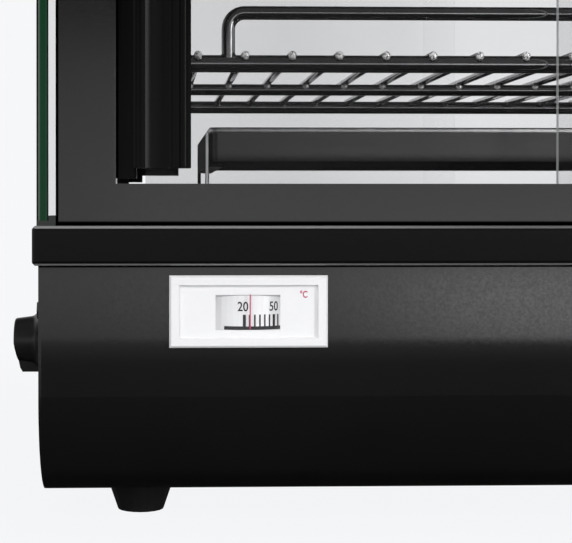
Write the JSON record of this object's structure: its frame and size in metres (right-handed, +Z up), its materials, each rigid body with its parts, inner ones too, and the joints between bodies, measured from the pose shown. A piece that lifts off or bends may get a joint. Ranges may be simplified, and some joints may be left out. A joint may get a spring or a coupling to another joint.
{
  "type": "pie warmer",
  "caption": "Counter-top heated display cabinet with glass ends, sliding glass doors front and rear, wire shelves, a water pan, a window thermometer and a side thermostat knob.",
  "frame": {"origin": "on the table under the middle of the object's outer box, so the cabinet's own centre plane is 7.2 mm to the right of it because the knob stands out on the left", "axes": "+Z up, +X along the sliding doors to the right of someone facing the gauge, +Y away from that person to the rear doors"},
  "size_m": [0.4804, 0.342, 0.6],
  "materials": {
    "satin_black_paint": "fine satin powder coat",
    "gloss_black_paint": "gloss enamel",
    "black_extrusion": "semi-gloss extruded plastic",
    "clear_glass": "polished",
    "end_glass": "polished, green edges",
    "chrome_wire": "bright chrome plate",
    "black_rubber": "matt moulded",
    "zinc_steel": "zinc plated",
    "bright_steel": "bright rolled",
    "element_steel": "heat darkened",
    "white_plastic": "moulded",
    "ceramic": "glazed",
    "black_plastic": "moulded",
    "red_line": "printed",
    "spacer_grey": "matt",
    "lamp_glass": "pearl",
    "cover_glass": "clear moulded"
  },
  "bodies": {
    "cabinet": {"base_wrap": "satin_black_paint", "base_left_cheek": "satin_black_paint", "base_right_cheek": "satin_black_paint", "base_bottom_plate": "satin_black_paint", "rubber_feet": "black_rubber", "foot_screws": "zinc_steel", "cheek_screws": "zinc_steel", "deck": "gloss_black_paint", "floor_plate": "bright_steel", "heating_element": "element_steel", "element_terminals": "ceramic", "element_brackets": "zinc_steel", "terminal_block": "white_plastic", "cord_gland": "black_plastic", "gland_nut": "black_plastic", "gauge_bezel": "white_plastic", "gauge_face": "white_plastic", "gauge_lens": "cover_glass", "gauge_index_line": "red_line", "gauge_case": "black_plastic", "thermostat_body": "black_plastic", "thermostat_bulb": "bright_steel", "switch_case": "black_plastic", "front_frame": "satin_black_paint", "rear_frame": "satin_black_paint", "front_bottom_track": "black_extrusion", "front_top_track": "black_extrusion", "rear_bottom_track": "black_extrusion", "rear_top_track": "black_extrusion", "door_buffers": "black_extrusion", "left_end_glass": "end_glass", "right_end_glass": "end_glass", "glass_spacers": "spacer_grey", "left_shelf_rack": "satin_black_paint", "right_shelf_rack": "satin_black_paint", "pan_stand": "satin_black_paint", "canopy_ledge": "gloss_black_paint", "canopy_wrap": "satin_black_paint", "canopy_left_cheek": "satin_black_paint", "canopy_right_cheek": "satin_black_paint", "ceiling_plate": "bright_steel", "lamp_holder": "white_plastic", "lamp": "lamp_glass"},
    "front_left_door": {"front_left_pane": "clear_glass", "front_left_grip": "black_extrusion"},
    "front_right_door": {"front_right_pane": "clear_glass", "front_right_grip": "black_extrusion"},
    "rear_left_door": {"rear_left_pane": "clear_glass", "rear_left_grip": "black_extrusion"},
    "rear_right_door": {"rear_right_pane": "clear_glass", "rear_right_grip": "black_extrusion"},
    "lower_shelf": {"shelf_1": "chrome_wire"},
    "middle_shelf": {"shelf_2": "chrome_wire"},
    "upper_shelf": {"shelf_3": "chrome_wire"},
    "pan": {"water_pan": "satin_black_paint"},
    "knob": {"thermostat_knob": "black_plastic", "knob_shaft": "zinc_steel"},
    "rocker": {"switch_rocker": "black_plastic"},
    "drum": {"gauge_drum": "white_plastic"}
  },
  "joints": [
    {"name": "front_left_door_slide", "type": "slide", "parent": "cabinet", "child": "front_left_door", "axis": [1, 0, 0], "range_m": [0, 0.1801]},
    {"name": "front_right_door_slide", "type": "slide", "parent": "cabinet", "child": "front_right_door", "axis": [-1, 0, 0], "range_m": [0, 0.1801]},
    {"name": "rear_left_door_slide", "type": "slide", "parent": "cabinet", "child": "rear_left_door", "axis": [1, 0, 0], "range_m": [0, 0.1801]},
    {"name": "rear_right_door_slide", "type": "slide", "parent": "cabinet", "child": "rear_right_door", "axis": [-1, 0, 0], "range_m": [0, 0.1801]},
    {"name": "lower_shelf_lift", "type": "slide", "parent": "cabinet", "child": "lower_shelf", "axis": [0, 0, 1], "range_m": [0, 0.012]},
    {"name": "middle_shelf_lift", "type": "slide", "parent": "cabinet", "child": "middle_shelf", "axis": [0, 0, 1], "range_m": [0, 0.012]},
    {"name": "upper_shelf_lift", "type": "slide", "parent": "cabinet", "child": "upper_shelf", "axis": [0, 0, 1], "range_m": [0, 0.012]},
    {"name": "pan_lift", "type": "slide", "parent": "cabinet", "child": "pan", "axis": [0, 0, 1], "range_m": [0, 0.018]},
    {"name": "thermostat_turn", "type": "hinge", "parent": "cabinet", "child": "knob", "pos_m": [-0.2238, -0.098, 0.0773], "axis": [1, 0, 0], "range_deg": [0, 270]},
    {"name": "switch_rock", "type": "hinge", "parent": "cabinet", "child": "rocker", "pos_m": [-0.2186, -0.038, 0.0773], "axis": [0, -1, 0], "range_deg": [0, 16]},
    {"name": "gauge_turn", "type": "hinge", "parent": "cabinet", "child": "drum", "pos_m": [-0.1362, -0.1442, 0.0948], "axis": [0, 0, -1], "range_deg": [-32, 119]}
  ]
}
